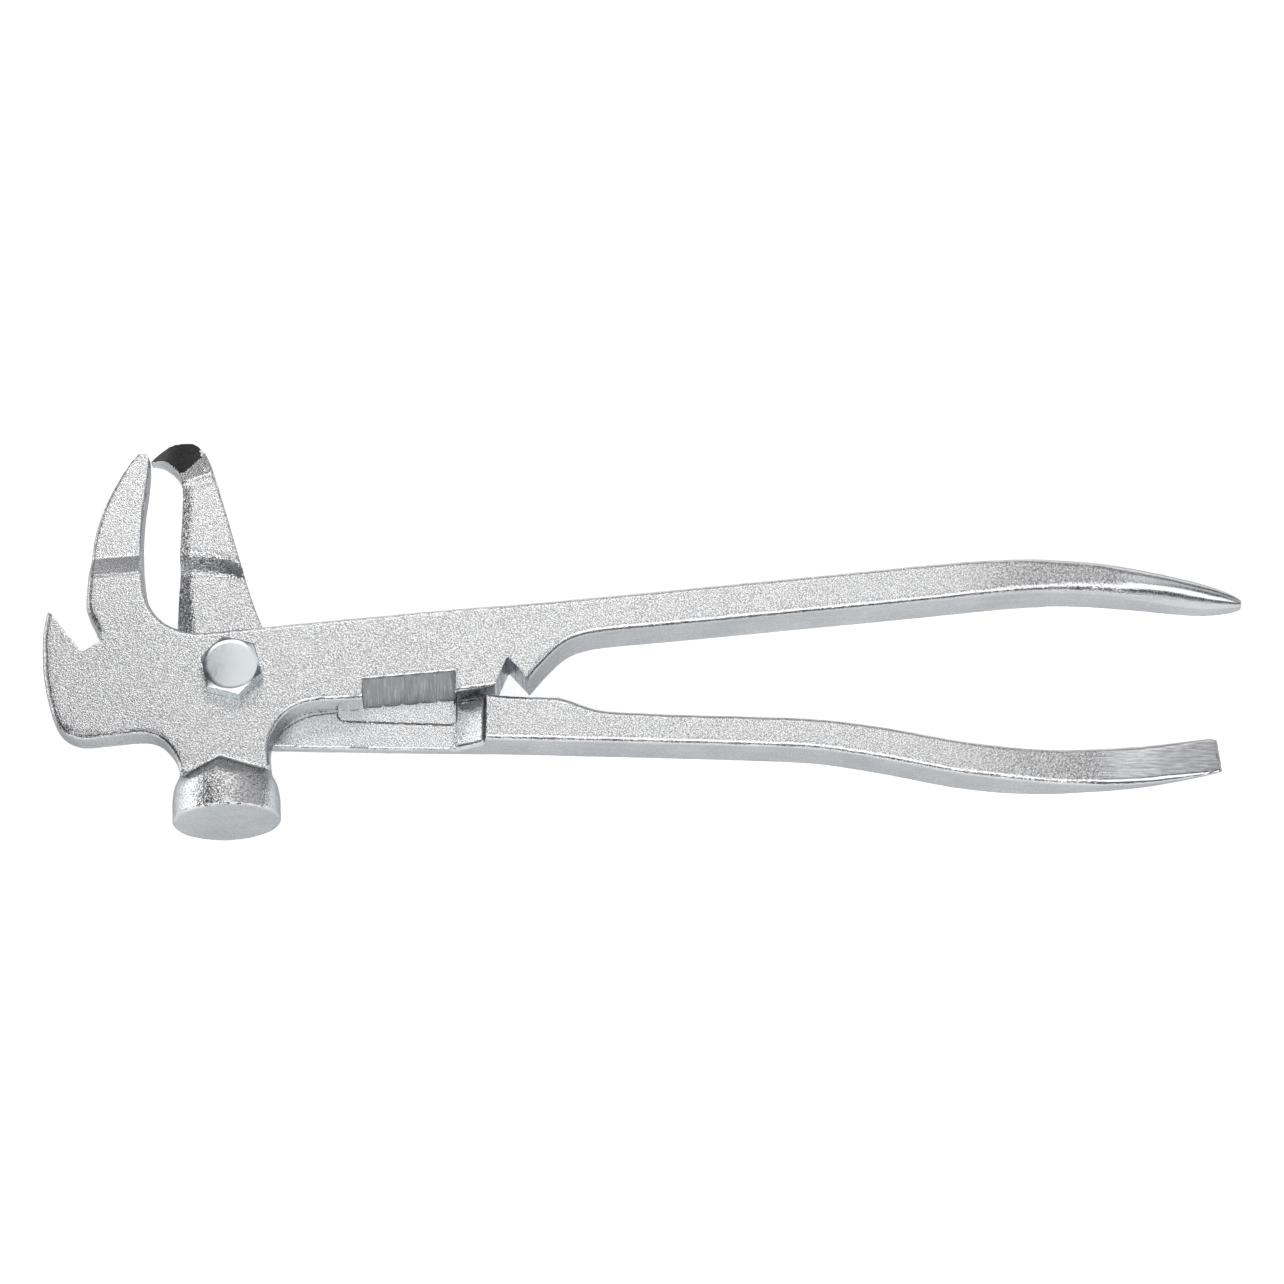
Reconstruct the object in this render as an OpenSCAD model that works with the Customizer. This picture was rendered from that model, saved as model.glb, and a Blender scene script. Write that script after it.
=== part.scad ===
// Lever pliers for balance weights: two lap-jointed forged levers on one hex pivot bolt.
// The tool lies flat, front face up. X runs along the handles, Y across them, Z up.
// The origin is under the middle of the whole tool, at the height of its lowest point.

/* [Levers] */
// Thickness of a lever at its handle
lever_t = 10.6; // [10:0.1:11.2]
// Height of the sliding plane of the lap joint, measured from the middle plane
lap_z = -1.8; // [-2.2:0.1:-1.4]
// Thickness of the jaws above their step
jaw_t = 6; // [5:0.1:6.6]
// Gap between the jaw tips when the handles are closed
tip_gap = 0.3; // [0.2:0.1:0.6]
// Gap between the sliding faces of the two levers
slide_gap = 0.05; // [0.02:0.01:0.1]
// Height of the raised rubbing pads on the rear lever
pad_h = 0.25; // [0.1:0.05:0.4]

/* [Pivot] */
// Diameter of the pivot bolt
bolt_d = 8; // [7:0.5:9]
// Running clearance of the bolt in a lever, on the radius
bolt_clear = 0.05; // [0.02:0.01:0.1]
// Width of the bolt head and the nut across their flats
hex_af = 12.8; // [12.4:0.1:13]
// Height of the bolt head
head_h = 4.2; // [3.6:0.1:5.3]
// Turn of the bolt head on its axis
head_turn = -14; // [-30:1:30]
// Thickness of the washer under the nut
washer_t = 1.2; // [1:0.1:1.6]
// Outer diameter of the washer
washer_d = 16; // [15:0.5:17]
// Height of the lock nut with its collar
nut_h = 6; // [5.5:0.1:6.4]

/* [Hammer] */
// Radius of the hammer head
hammer_r = 12.1; // [11.5:0.1:12.4]
// Lean of the hammer axis in the plane of the tool
hammer_lean = 3.7; // [0:0.1:5]
// Distance from the pivot axis to the striking face
hammer_reach = 34.5; // [33:0.1:35]

/* [Claw] */
// Width of the pry notch mouth at the left end, across its walls
claw_mouth = 12; // [10:0.5:13]

/* [Hidden] */
$fn = 96;
h = lever_t / 2;
jh = jaw_t / 2;
bore_r = bolt_d / 2 + bolt_clear;
lap_low = lap_z - slide_gap - pad_h;
washer_top = -h - slide_gap;
nut_top = washer_top - washer_t;
nut_end = nut_top - nut_h;

// Where the pivot axis and the middle plane stand in the part's own frame
px = -92.8;
py = -12.6;
pz = 12.55;

// A smooth curve through points that are set out by hand
function knot(p, i) = p[max(0, min(len(p) - 1, i))];
function bend(a, b, c, d, t) =
    0.5 * (2 * b + (c - a) * t + (2 * a - 5 * b + 4 * c - d) * t * t
    + (3 * b - a - 3 * c + d) * t * t * t);
function smooth(p, n = 3) = [
    for (i = [0 : len(p) - 2]) for (k = [0 : n - 1])
        bend(knot(p, i - 1), p[i], p[i + 1], knot(p, i + 2), k / n),
    p[len(p) - 1]
];

// A circle arc about a centre
function arc(c, r, a0, a1, n) = [for (k = [0 : n]) c + r * [cos(a0 + (a1 - a0) * k / n), sin(a0 + (a1 - a0) * k / n)]];

// Front lever, seen from the front: jaw, crotch and upper edge out to the nose
front_upper = [
    [-21.6, 54.4], [-21.4, 51], [-21.6, 46.5], [-22.1, 40], [-22.2, 34], [-21.9, 29],
    [-21.4, 24.5], [-20.5, 19.5], [-19, 15.6], [-16.4, 12.5], [-12.8, 10.5], [-8.5, 9.6],
    [-2, 10.1], [6, 10.9], [24, 12.8], [46, 15], [72, 17.4], [105, 20.8], [140, 24.5],
    [163, 26.95], [175, 27.85], [184, 28.05], [195, 27.45], [206, 26.3], [215, 24.6],
    [222, 22.65], [226.4, 20.8], [229, 19.1]
];
// Nose and lower edge back to the tooth of the wire notch
front_lower = [
    [229, 17.8], [226.5, 17.4], [222, 17.2], [217, 17.55], [208, 18.6], [201, 19.25],
    [194.5, 19.75], [187.5, 19.95], [180.5, 19.75], [173.8, 19.2], [162.5, 17.95], [150, 16.6],
    [128, 14.3], [105.5, 11.95], [94, 10.8], [84, 9.8], [78.5, 8.7], [74.5, 6.7],
    [70.4, 2.6], [66.8, -1.9]
];
// Neck of the hammer on its right side
neck_right = [
    [28, -6.7], [23, -6.9], [19, -7.2], [16, -7.9], [13.5, -9.2], [11.5, -11.2],
    [10, -13.7], [9.1, -16.3], [8.9, -19], [9.3, -22.5]
];
// Left side of the neck, underside of the claw arm and its outer edge
claw_outer = [
    [-10.9, -24.5], [-11.5, -21.9], [-12.5, -19.7], [-13.7, -18], [-15.3, -16.4],
    [-17.5, -15.3], [-20.5, -15], [-26.5, -15.6], [-30.5, -16.1], [-33.5, -16.15],
    [-36, -15.4], [-38.1, -13.9], [-39.8, -11.5], [-40.95, -8.1], [-41.9, -4.5],
    [-42.6, -1], [-43.1, 3], [-43.35, 7], [-43.3, 10.6], [-42.7, 13.9]
];
// Outer edge of the front jaw up to its tip
jaw_outer = [
    [-29.9, 7.6], [-31.9, 11.4], [-33.6, 15], [-34, 18], [-33.9, 22], [-33.7, 26.8],
    [-33.45, 31.5], [-32.75, 36.4], [-31.4, 41.5], [-29.6, 46], [-27.7, 50], [-25.7, 53.4]
];
front_edge = concat(
    [[-22, 55.5]], smooth(front_upper), smooth(front_lower),
    [[62.4, 3], [61.7, 3]], [[59.1, -3.6], [50.4, -4.8]],
    smooth(neck_right), [[4, -27], [-6, -27]], smooth(claw_outer),
    [[-42.2, 14.9], [-41.7, 14.6], [-46.2 + claw_mouth, 4.7]],
    smooth(jaw_outer), [[-24.1, 55.5]]
);

// Rear lever: hook, back of the jaw, and the lap plate behind the front lever
hook_back = [
    [-21.5 + tip_gap, 55], [-20.3, 56.7], [-19, 58.2], [-17.2, 59.7], [-15.3, 60.4],
    [-13.6, 60.5], [-12, 60.1], [-10.5, 58.8], [-8.7, 56], [-6.9, 52], [-4.45, 44.4],
    [-1.85, 36], [0.3, 29], [2.75, 21.5], [5.2, 15], [8, 9.5], [11.5, 5.5], [16, 3],
    [22, 1.9], [30, 1.7]
];
// Upper edge of the lower handle out to the flat blade
rear_upper = [
    [73.5, -6.1], [76, -6.8], [79.5, -8.2], [83, -9.2], [88, -9.7], [94, -10],
    [105, -10.4], [116.5, -10.7], [128, -11.1], [139, -12.15], [150, -13.95], [161, -16.15],
    [172, -17.7], [183, -18.2], [194, -17.6], [206, -16.4], [217.5, -14.75], [220.5, -14.5]
];
// Blade end and lower edge back to the lap
rear_lower = [
    [222.4, -22.3], [217.5, -23.4], [208, -25.1], [201, -25.85], [194, -26.25],
    [183, -26.3], [172, -25.55], [161, -24.05], [150, -21.75], [139, -19.7], [128, -18.35],
    [105, -17.5], [83, -16.9], [57, -16.25], [38, -16.05], [12, -15.6]
];
// Gripping edge of the rear jaw, from its root up into the hook
jaw_grip = [
    [-13.9, 14], [-13.8, 24], [-13.5, 34], [-13.5, 42], [-13.6, 46], [-14.2, 49],
    [-15.4, 51.1], [-17, 52.6], [-19, 53.8], [-21.5 + tip_gap, 54.6]
];
rear_edge = concat(
    smooth(hook_back), [[50, 2.4], [55, 0.6], [56.3, -1.2], [56.4, -4.6], [58, -5.4], [66.5, -6]],
    smooth(rear_upper), [[221.6, -14.8]], smooth(rear_lower),
    arc([0, 0], 15.2, -90, -175, 14), smooth(jaw_grip)
);

// A solid whose section in the YZ plane is given, along X from x0 to x1
module across(x0, x1, section)
    translate([x0, 0, 0]) rotate([90, 0, 90]) linear_extrude(x1 - x0) polygon(section);

// A solid whose section in the XZ plane is given, along Y from y0 to y1
module along(y0, y1, section)
    translate([0, y1, 0]) rotate([90, 0, 0]) linear_extrude(y1 - y0) polygon(section);

// Section of the front lever through its head, with the steps at the jaw root
front_head = [
    [-40, h], [24, h], [29.3, jh], [70, jh], [70, -jh], [29.3, -jh], [26.5, lap_z], [-40, lap_z]
];
// Section of the front lever along its handle, tapered at the nose
nose_half = [[200, h], [210, 4.9], [215.4, 4.4], [220, 3.7], [224.4, 2.8], [227, 1.9], [229.4, 0.8]];
front_side = concat(
    [[-60, h]], nose_half, [for (i = [len(nose_half) - 1 : -1 : 0]) [nose_half[i][0], -nose_half[i][1]]],
    [[-60, -h]]
);
// Section of the rear lever through its jaw: lap at the root, stepped forward above it
rear_head = [
    [-30, h], [26.3, h], [26.3, lap_z - slide_gap], [30.5, jh], [53.8, jh], [59.9, -jh + 0.1],
    [62, -jh + 0.1], [62, -jh], [30.5, -jh], [26.3, -h], [-30, -h]
];
// Section of the rear lever along its handle, thinned to the flat blade
blade_half = [[172, h], [183, 4.1], [194, 2.8], [208, 1.7], [222.5, 0.4]];
rear_side = concat(
    [[-60, h]], blade_half, [for (i = [len(blade_half) - 1 : -1 : 0]) [blade_half[i][0], -blade_half[i][1]]],
    [[-60, -h]]
);

// A roof-shaped block: its ridge starts on the front face of the neck and slopes up over the hammer
module hammer_roof()
    translate([-1.9, -20.6, h]) rotate([37, 0, 0]) translate([0, 0, -25]) linear_extrude(50)
        polygon([[-20, -9.4], [0, 0], [20, -4.9], [20, -40], [-20, -40]]);

// Hammer: a short barrel with a flat face, cut to a roof on both sides of the neck
module hammer()
    intersection() {
        translate([-2.5, 0, 0]) rotate([90, 0, hammer_lean]) rotate_extrude()
            polygon([
                [0, 10], [hammer_r - 3.2, 10], [hammer_r - 3.2, 21.5], [hammer_r - 1.6, 24.2],
                [hammer_r - 0.5, 26.6], [hammer_r, 29.5], [hammer_r, hammer_reach - 1.1],
                [hammer_r - 0.3, hammer_reach - 0.5], [hammer_r - 0.9, hammer_reach], [0, hammer_reach]
            ]);
        hammer_roof();
        mirror([0, 0, 1]) hammer_roof();
    }

module front_body() {
    // head and jaw, on the front side of the lap
    intersection() {
        translate([0, 0, -h]) linear_extrude(lever_t) polygon(front_edge);
        across(-50, 58, front_head);
    }
    // handle at full thickness, from the end of the lap pocket
    intersection() {
        translate([0, 0, -h]) linear_extrude(lever_t) polygon(front_edge);
        along(-10, 40, front_side);
        translate([57, -30, -h]) cube([180, 80, lever_t]);
    }
    hammer();
}

module front_lever()
    color("silver") translate([px, py, pz]) difference() {
        front_body();
        // bore for the pivot bolt
        translate([0, 0, -h - 1]) cylinder(r = bore_r, h = lever_t + 2);
        // ground face of the cutter, down to its edge on the sliding plane
        across(29.4, 50.2, [[-1.1, h + 0.01], [-6.4, lap_z + 0.8], [-6.4, lap_z - 1], [-12, lap_z - 1], [-12, h + 0.01]]);
    }

// The sharpened tip of the hook slopes away to the left
module hook_bevel()
    translate([-17.5, 53.2, jh]) rotate([0, acos(1 / norm([-0.62, 1, 1])), atan2(1, -0.62)])
        translate([-12, -12, 0]) cube([24, 24, 12]);

module rear_body()
    intersection() {
        translate([0, 0, -h]) linear_extrude(lever_t) polygon(rear_edge);
        across(-60, 230, rear_head);
        along(-40, 70, rear_side);
    }

module rear_lever()
    color("gainsboro") translate([px, py, pz]) difference() {
        rear_body();
        // lap recess, ending in a ramp where the handle grows to full thickness
        difference() {
            union() {
                along(-30, 26.3, [
                    [-40, lap_low], [50.2, lap_low], [53, lap_low + 2.2], [55.6, lap_low + 4.8],
                    [57.6, h], [57.6, h + 2], [-40, h + 2]
                ]);
                // behind the front lever the plate keeps the thickness of the lap to its end
                along(-5.4, 20, [[20, lap_low], [60, lap_low], [60, h + 2], [20, h + 2]]);
            }
            // rubbing pads: round the pivot, and under the cutter
            translate([0, 0, lap_low - 1]) cylinder(r = 13, h = pad_h + 1);
            translate([24, -9.4, lap_low - 1]) cube([26.2, 14, pad_h + 1]);
            translate([-15, 10, lap_low - 1]) cube([24, 17, pad_h + 1]);
        }
        // bore for the pivot bolt
        translate([0, 0, -h - 1]) cylinder(r = bore_r, h = lever_t + 2);
        hook_bevel();
    }

// A hexagonal prism with round-chamfered corners at its far end
module hex_block(z0, high, turn, cut)
    translate([0, 0, z0]) intersection() {
        rotate([0, 0, turn]) cylinder(r = hex_af / sqrt(3), h = high, $fn = 6);
        rotate_extrude() polygon([
            [0, 0], [hex_af * 0.6, 0], [hex_af * 0.6, high - cut * 1.0],
            [hex_af * 0.46, high], [0, high]
        ]);
    }

module pivot_bolt()
    color("lightsteelblue") translate([px, py, pz]) {
        hex_block(h, head_h, head_turn, 0.85);
        translate([0, 0, nut_end + 0.9]) cylinder(r = bolt_d / 2, h = h - nut_end - 0.9 + 0.5);
        translate([0, 0, nut_end + 0.1]) cylinder(r1 = bolt_d / 2 - 0.8, r2 = bolt_d / 2, h = 0.8);
    }

module back_washer()
    color("lightgray") translate([px, py, pz + nut_top]) difference() {
        cylinder(r = washer_d / 2, h = washer_t);
        translate([0, 0, -1]) cylinder(r = bolt_d / 2 + 0.2, h = washer_t + 2);
    }

module lock_nut()
    color("slategray") translate([px, py, pz + nut_top]) mirror([0, 0, 1]) difference() {
        union() {
            hex_block(0, nut_h - 1.8, 10, 0.85);
            translate([0, 0, nut_h - 2.4]) cylinder(r = hex_af * 0.45, h = 1.8);
            translate([0, 0, nut_h - 0.6]) cylinder(r1 = hex_af * 0.45, r2 = hex_af * 0.42, h = 0.6);
        }
        translate([0, 0, -1]) cylinder(r = bolt_d / 2 + 0.01, h = nut_h + 2);
        translate([0, 0, nut_h - 2]) cylinder(r = hex_af * 0.39, h = 1.6);
    }

module lock_nut_ring()
    color("royalblue") translate([px, py, pz + nut_top]) mirror([0, 0, 1])
        translate([0, 0, nut_h - 2]) difference() {
            cylinder(r = hex_af * 0.39, h = 1.6);
            translate([0, 0, -1]) cylinder(r = bolt_d / 2 + 0.01, h = 4);
        }

front_lever();
rear_lever();
pivot_bolt();
back_washer();
lock_nut();
lock_nut_ring();
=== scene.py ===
import math

import bpy
import numpy as np
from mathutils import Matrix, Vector

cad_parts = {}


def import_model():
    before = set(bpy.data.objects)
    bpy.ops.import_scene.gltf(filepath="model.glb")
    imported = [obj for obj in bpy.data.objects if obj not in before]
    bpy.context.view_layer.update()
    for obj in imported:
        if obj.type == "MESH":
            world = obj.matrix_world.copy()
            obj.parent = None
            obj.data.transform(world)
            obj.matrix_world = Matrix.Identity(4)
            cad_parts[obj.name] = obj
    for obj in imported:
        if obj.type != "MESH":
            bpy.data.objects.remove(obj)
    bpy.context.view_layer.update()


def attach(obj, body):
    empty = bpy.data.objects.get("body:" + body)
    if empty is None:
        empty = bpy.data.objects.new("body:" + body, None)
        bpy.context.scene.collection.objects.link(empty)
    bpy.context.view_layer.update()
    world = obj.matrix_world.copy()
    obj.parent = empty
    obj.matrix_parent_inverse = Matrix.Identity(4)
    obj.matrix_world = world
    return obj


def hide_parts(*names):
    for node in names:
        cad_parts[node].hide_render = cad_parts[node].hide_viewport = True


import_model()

# ---------------------------------------------------------------- shared numbers (millimetres, pivot frame)
PIVOT = np.array([-92.8, -12.6, 12.55])
H = 5.3            # half thickness of a lever
LAP = -1.8         # sliding plane
LAP_LOW = -2.32    # floor of the rear lever's lap recess


def world(p):
    return (np.asarray(p, float) + PIVOT) / 1000.0


# ---------------------------------------------------------------- outlines
def smooth(p, n=4):
    p = np.array(p, float)
    q = np.vstack([p[:1], p, p[-1:]])
    out = []
    for i in range(len(p) - 1):
        a, b, c, d = q[i], q[i + 1], q[i + 2], q[i + 3]
        for k in range(n):
            t = k / n
            out.append(0.5 * (2 * b + (c - a) * t + (2 * a - 5 * b + 4 * c - d) * t * t
                              + (3 * b - a - 3 * c + d) * t ** 3))
    out.append(p[-1])
    return np.array(out)


front_upper = [
    [-21.6, 54.4], [-21.4, 51], [-21.6, 46.5], [-22.1, 40], [-22.2, 34], [-21.9, 29],
    [-21.4, 24.5], [-20.5, 19.5], [-19, 15.6], [-16.4, 12.5], [-12.8, 10.5], [-8.5, 9.6],
    [-2, 10.1], [6, 10.9], [24, 12.8], [46, 15], [72, 17.4], [105, 20.8], [140, 24.5],
    [163, 26.95], [175, 27.85], [184, 28.05], [195, 27.45], [206, 26.3], [215, 24.6],
    [222, 22.65], [226.4, 20.8], [228.97, 19.1]]
front_lower = [
    [228.97, 17.8], [226.5, 17.4], [222, 17.2], [217, 17.55], [208, 18.6], [201, 19.25],
    [194.5, 19.75], [187.5, 19.95], [180.5, 19.75], [173.8, 19.2], [162.5, 17.95], [150, 16.6],
    [128, 14.3], [105.5, 11.95], [94, 10.8], [84, 9.8], [78.5, 8.7], [74.5, 6.7],
    [70.4, 2.6], [66.8, -1.9]]
neck_right = [
    [28, -6.7], [23, -6.9], [19, -7.2], [16, -7.9], [13.5, -9.2], [11.5, -11.2],
    [10, -13.7], [9.1, -16.3], [8.9, -19], [9.3, -22.5]]
claw_outer = [
    [-10.9, -24.5], [-11.5, -21.9], [-12.5, -19.7], [-13.7, -18], [-15.3, -16.4],
    [-17.5, -15.3], [-20.5, -15], [-26.5, -15.6], [-30.5, -16.1], [-33.5, -16.15],
    [-36, -15.4], [-38.1, -13.9], [-39.8, -11.5], [-40.95, -8.1], [-41.9, -4.5],
    [-42.6, -1], [-43.1, 3], [-43.33, 7], [-43.25, 11], [-42.8, 14.2]]
jaw_outer = [
    [-31.9, 11.5], [-33.7, 15.0], [-34, 18.0], [-33.9, 22], [-33.7, 26.8],
    [-33.45, 31.5], [-32.75, 36.4], [-31.4, 41.5], [-29.6, 46], [-27.7, 50], [-25.7, 53.4]]
# forged outline of the front lever, before its two notches and its cutter are ground in
FRONT = np.vstack([
    [[-22, 55.5]], smooth(front_upper), smooth(front_lower),
    [[65.2, -3.4], [59.1, -3.6], [50.6, -4.8], [50.3, -7.2], [29.6, -9.0], [29.3, -6.6]],
    smooth(neck_right), [[4, -27], [-6, -27]], smooth(claw_outer),
    [[-42.3, 16.6], [-40.6, 16.4], [-37.6, 13.6], [-35, 10.9], [-33.4, 9.3], [-31.7, 9.0], [-31.0, 9.8]],
    smooth(jaw_outer), [[-24.1, 55.5]]])
CLAW_CUT = np.array([[-34.05, 4.6], [-29.75, 7.4], [-31.3, 10.5], [-38, 19.5], [-44, 17.1]])
WIRE_CUT = np.array([[61.75, 3.1], [62.35, 3.1], [71.8, -7.5], [57.6, -7.5]])

hook_back = [
    [-21.45, 54.7], [-20.5, 56.5], [-19, 58.2], [-17.2, 59.7], [-15.3, 60.4],
    [-13.6, 60.5], [-12, 60.1], [-10.5, 58.8], [-8.7, 56], [-6.9, 52], [-4.45, 44.4],
    [-1.85, 36], [0.3, 29], [2.75, 21.5], [5.2, 15], [8, 9.5], [11.5, 5.5], [16, 3],
    [22, 1.9], [30, 1.7]]
rear_upper = [
    [73.5, -6.1], [76, -6.8], [79.5, -8.2], [83, -9.2], [88, -9.7], [94, -10],
    [105, -10.4], [116.5, -10.7], [128, -11.1], [139, -12.15], [150, -13.95], [161, -16.15],
    [172, -17.7], [183, -18.2], [194, -17.6], [206, -16.4], [217.5, -14.75], [220.5, -14.5]]
rear_lower = [
    [222.4, -22.3], [217.5, -23.4], [208, -25.1], [201, -25.85], [194, -26.25],
    [183, -26.3], [172, -25.55], [161, -24.05], [150, -21.75], [139, -19.7], [128, -18.35],
    [105, -17.5], [83, -16.9], [57, -16.25], [38, -16.05], [12, -15.6]]
jaw_grip = [
    [-13.9, 14], [-13.8, 24], [-13.5, 34], [-13.5, 42], [-13.6, 46], [-14.2, 49],
    [-15.4, 51.1], [-17, 52.6], [-19, 53.8], [-21.45, 54.15]]
REAR = np.vstack([
    smooth(hook_back), [[50, 2.4], [55, 0.6], [56.3, -1.2], [56.4, -4.6], [58, -5.4], [66.5, -6]],
    smooth(rear_upper), [[221.6, -14.8]], smooth(rear_lower),
    [[15.2 * math.cos(math.radians(a)), 15.2 * math.sin(math.radians(a))]
     for a in np.linspace(-90, -175, 15)],
    smooth(jaw_grip)])
# raised strip that follows the neck of the front lever, and the pad under the cutter
STRIP = np.vstack([smooth([[8.6, -19.5], [9.0, -16.0], [9.8, -13.5], [11.3, -11.5], [13.9, -9.5], [17.3, -8.0],
                           [21.8, -7.3], [25, -6.9]]), [[30, -6.9], [30, 8], [-12, 8], [-12, -19.5]]])


def polygon_field(poly, x, y):
    """Signed distance to a closed outline (negative inside) and its gradient, at flat arrays of points."""
    a = np.asarray(poly, float)
    b = np.roll(a, -1, axis=0)
    keep = np.hypot(*(b - a).T) > 1e-9
    a, b = a[keep], b[keep]
    e = b - a
    ee = (e ** 2).sum(1)
    n = len(x)
    d, gx, gy = np.empty(n), np.empty(n), np.empty(n)
    for s in range(0, n, 6000):
        px, py = x[s:s + 6000, None], y[s:s + 6000, None]
        wx, wy = px - a[:, 0], py - a[:, 1]
        t = np.clip((wx * e[:, 0] + wy * e[:, 1]) / ee, 0, 1)
        qx, qy = wx - t * e[:, 0], wy - t * e[:, 1]
        dd = qx * qx + qy * qy
        k = dd.argmin(1)
        r = np.arange(len(k))
        dist = np.sqrt(dd[r, k])
        up = (a[:, 1] > py) != (b[:, 1] > py)
        cross = up & (wx < wy * e[:, 0] / np.where(e[:, 1] == 0, 1e-12, e[:, 1]))
        sign = np.where(cross.sum(1) % 2 == 1, -1.0, 1.0)
        d[s:s + 6000] = dist * sign
        safe = np.maximum(dist, 1e-9)
        gx[s:s + 6000] = sign * qx[r, k] / safe
        gy[s:s + 6000] = sign * qy[r, k] / safe
    return d, gx, gy


# ---------------------------------------------------------------- field helpers
def rmax(a, b, r):
    """Intersection with a round edge of radius r."""
    u, v = np.maximum(a + r, 0), np.maximum(b + r, 0)
    return np.minimum(np.maximum(a, b), -r) + np.sqrt(u * u + v * v)


def forged_edge(wall, face, r, cut):
    """A round edge whose middle is trimmed to a narrow flat."""
    body = rmax(wall, face, r)
    flat = 0.766 * wall + 0.643 * face + 0.409 * r + cut
    return rmax(body, flat, 0.04)


def rmin(a, b, r):
    """Union with a round fillet of radius r."""
    u, v = np.maximum(r - a, 0), np.maximum(r - b, 0)
    return np.maximum(np.minimum(a, b), r) - np.sqrt(u * u + v * v)


def smin(a, b, k):
    h = np.clip(0.5 + 0.5 * (b - a) / k, 0, 1)
    return b + (a - b) * h - k * h * (1 - h)


def smax(a, b, k):
    return -smin(-a, -b, k)


def step(x, a, b):
    t = np.clip((x - a) / (b - a), 0, 1)
    return t * t * (3 - 2 * t)


def curve(table, x):
    """A smooth height curve through given points."""
    t = smooth(table, 6)
    return np.interp(x, t[:, 0], t[:, 1])


def waves(x, y, s, seed):
    """A slow unevenness, as a forging die leaves it."""
    r = np.random.default_rng(seed)
    total = 0.0
    for k in range(6):
        a, p = r.uniform(0, 2 * math.pi), r.uniform(0, 2 * math.pi)
        f = s * (0.6 + 0.35 * k)
        total = total + np.sin(x * math.cos(a) * f + y * math.sin(a) * f + p) / (1 + 0.4 * k)
    return total / 2.6


NOSE = [[150, 5.3], [185, 5.3], [200, 5.25], [210, 4.85], [215.4, 4.35], [220, 3.7], [224.4, 2.9], [227, 2.15], [229.4, 1.3], [232, 0.8]]
NOSE_R = [[40, 1.3], [150, 1.3], [165, 1.4], [180, 1.9], [192, 2.5], [204, 2.9], [214, 2.9], [220, 2.4], [224.4, 1.7], [227, 1.0], [229.4, 0.5], [232, 0.3]]
BELLY = [[150, 5.3], [200, 5.3], [212, 5.2], [220, 4.6], [226, 3.3], [229.4, 1.7], [232, 0.9]]
NOSE_MID = [[150, 20.6], [175, 23.5], [195, 23.6], [206, 22.5], [215, 21.2], [222, 19.9], [226.4, 19.1], [230, 18.4]]
NOSE_HALF = [[150, 3.8], [175, 4.3], [195, 3.85], [206, 3.75], [215, 3.4], [222, 2.75], [226.4, 1.75], [230, 0.7]]
BLADE = [[120, 5.3], [160, 5.3], [172, 5.1], [183, 4.1], [194, 2.8], [208, 1.7], [222.5, 0.4], [226, 0.1]]

CUT_N = np.array([0.080, -0.828, 0.555])
CUT_P = np.array([29.3, -1.7, 5.3])
LEAN = math.radians(3.7)
BARREL = [[0, 8.9], [21.3, 8.9], [22.6, 9.5], [24.2, 10.5], [26.6, 11.55], [29.5, 12.01], [31.5, 12.04], [36, 12.04]]


def cutter_plane(x, y, z):
    return CUT_N[0] * (x - CUT_P[0]) + CUT_N[1] * (y - CUT_P[1]) + CUT_N[2] * (z - CUT_P[2])


def hammer_field(x, y, z):
    u = (x + 2.5) * math.sin(LEAN) - y * math.cos(LEAN)
    v = (x + 2.5) * math.cos(LEAN) + y * math.sin(LEAN)
    rho = np.sqrt(v * v + z * z)
    barrel = forged_edge(u - 34.45, rho - curve(BARREL, u), 0.5, 0.05 + 0.03 * np.sin(5 * np.arctan2(z, v)))
    barrel = np.maximum(barrel, 14 - u)
    rx, ry = x + 1.9, y + 20.6
    slope = np.where(rx < 0, 0.47 * rx, -0.245 * rx)
    c, s = math.cos(math.radians(37)), math.sin(math.radians(37))
    roof = (ry * c + (np.abs(z) - H) * s - slope) * 0.93
    return rmax(barrel, roof, 0.45)


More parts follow.
